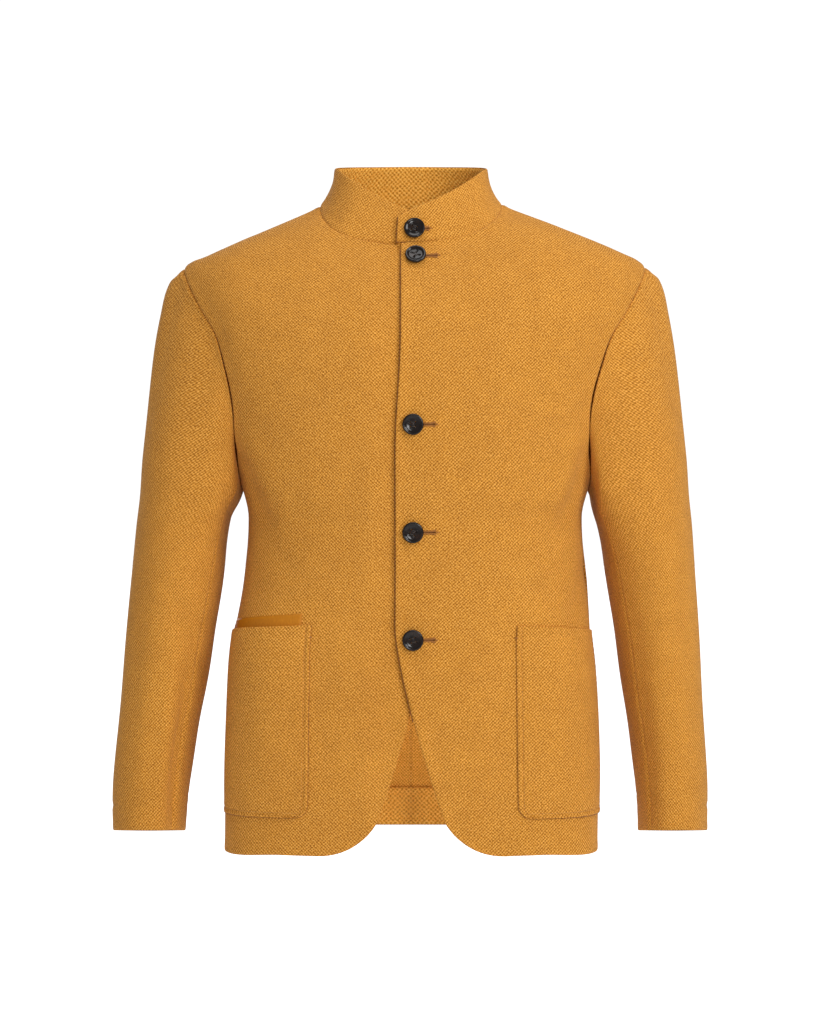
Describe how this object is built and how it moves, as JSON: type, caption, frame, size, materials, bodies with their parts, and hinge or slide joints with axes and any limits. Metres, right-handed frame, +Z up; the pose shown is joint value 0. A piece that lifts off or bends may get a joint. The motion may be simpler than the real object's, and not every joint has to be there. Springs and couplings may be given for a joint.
{
  "type": "band-collar jacket",
  "caption": "Tailored wool jacket with a standing band collar, a buttoned front with curved lower corners, set-in sleeves and patch pockets.",
  "frame": {"origin": "middle of the hanger loop inside the back of the neck", "axes": "+Z up towards the collar, -Y the way the wearer faces, +X towards the wearer's left"},
  "size_m": [0.6678, 0.2596, 0.7711],
  "materials": {
    "cloth": "mustard wool with a fine diagonal weave",
    "cloth_reverse": "coarser reverse of the mustard wool",
    "satin": "smooth mustard satin",
    "canvas": "woven interlining",
    "padding": "felted wadding",
    "horn": "polished dark horn",
    "buttonhole_thread": "rust-brown silk buttonhole stitches",
    "button_thread": "waxed sewing thread"
  },
  "bodies": {
    "torso": {"left_canvas": "canvas", "right_canvas": "canvas", "left_front": "cloth", "right_front": "cloth", "left_facing": "cloth_reverse", "right_facing": "cloth_reverse", "left_back": "cloth", "right_back": "cloth", "left_hem_turnup": "cloth_reverse", "right_hem_turnup": "cloth_reverse", "left_shoulder_pad": "padding", "right_shoulder_pad": "padding", "left_pocket": "cloth", "right_pocket": "cloth", "left_pocket_facing": "satin", "right_pocket_facing": "satin", "back_neck_facing": "cloth_reverse", "collar_outer": "cloth", "collar_interlining": "canvas", "collar_inner": "cloth_reverse", "hanger_loop": "satin", "buttonhole_1": "buttonhole_thread", "buttonhole_2": "buttonhole_thread", "buttonhole_3": "buttonhole_thread", "buttonhole_4": "buttonhole_thread", "buttonhole_5": "buttonhole_thread"},
    "left_sleeve": {"left_top_sleeve": "cloth", "left_under_sleeve": "cloth", "left_cuff_hem": "cloth_reverse", "left_sleeve_head": "padding"},
    "right_sleeve": {"right_top_sleeve": "cloth", "right_under_sleeve": "cloth", "right_cuff_hem": "cloth_reverse", "right_sleeve_head": "padding"},
    "button_1_body": {"button_1": "horn", "button_thread_1": "button_thread"},
    "button_2_body": {"button_2": "horn", "button_thread_2": "button_thread"},
    "button_3_body": {"button_3": "horn", "button_thread_3": "button_thread"},
    "button_4_body": {"button_4": "horn", "button_thread_4": "button_thread"},
    "button_5_body": {"button_5": "horn", "button_thread_5": "button_thread"}
  },
  "joints": [
    {"name": "left_sleeve_swing", "type": "hinge", "parent": "torso", "child": "left_sleeve", "pos_m": [0.262, -0.04009, -0.071], "axis": [0, -1, 0], "range_deg": [0, 40]},
    {"name": "right_sleeve_swing", "type": "hinge", "parent": "torso", "child": "right_sleeve", "pos_m": [-0.262, -0.04009, -0.071], "axis": [0, 1, 0], "range_deg": [0, 40]},
    {"name": "button_1_turn", "type": "hinge", "parent": "torso", "child": "button_1_body", "pos_m": [0.00385, -0.11407, -0.03449], "axis": [-0.0203, -0.9745, 0.2236], "range_deg": [-30, 30], "stiffness_Nm_per_rad": 0.001},
    {"name": "button_2_turn", "type": "hinge", "parent": "torso", "child": "button_2_body", "pos_m": [0.005, -0.12785, -0.0635], "axis": [0.0008, -0.8417, 0.54], "range_deg": [-30, 30], "stiffness_Nm_per_rad": 0.001},
    {"name": "button_3_turn", "type": "hinge", "parent": "torso", "child": "button_3_body", "pos_m": [0.002, -0.16375, -0.248], "axis": [0.0006, -0.9993, -0.0379], "range_deg": [-30, 30], "stiffness_Nm_per_rad": 0.001},
    {"name": "button_4_turn", "type": "hinge", "parent": "torso", "child": "button_4_body", "pos_m": [0.002, -0.1568, -0.364], "axis": [0.0007, -0.9988, -0.0486], "range_deg": [-30, 30], "stiffness_Nm_per_rad": 0.001},
    {"name": "button_5_turn", "type": "hinge", "parent": "torso", "child": "button_5_body", "pos_m": [0.002, -0.1537, -0.48], "axis": [0.0002, -1, -0.0068], "range_deg": [-30, 30], "stiffness_Nm_per_rad": 0.001}
  ]
}
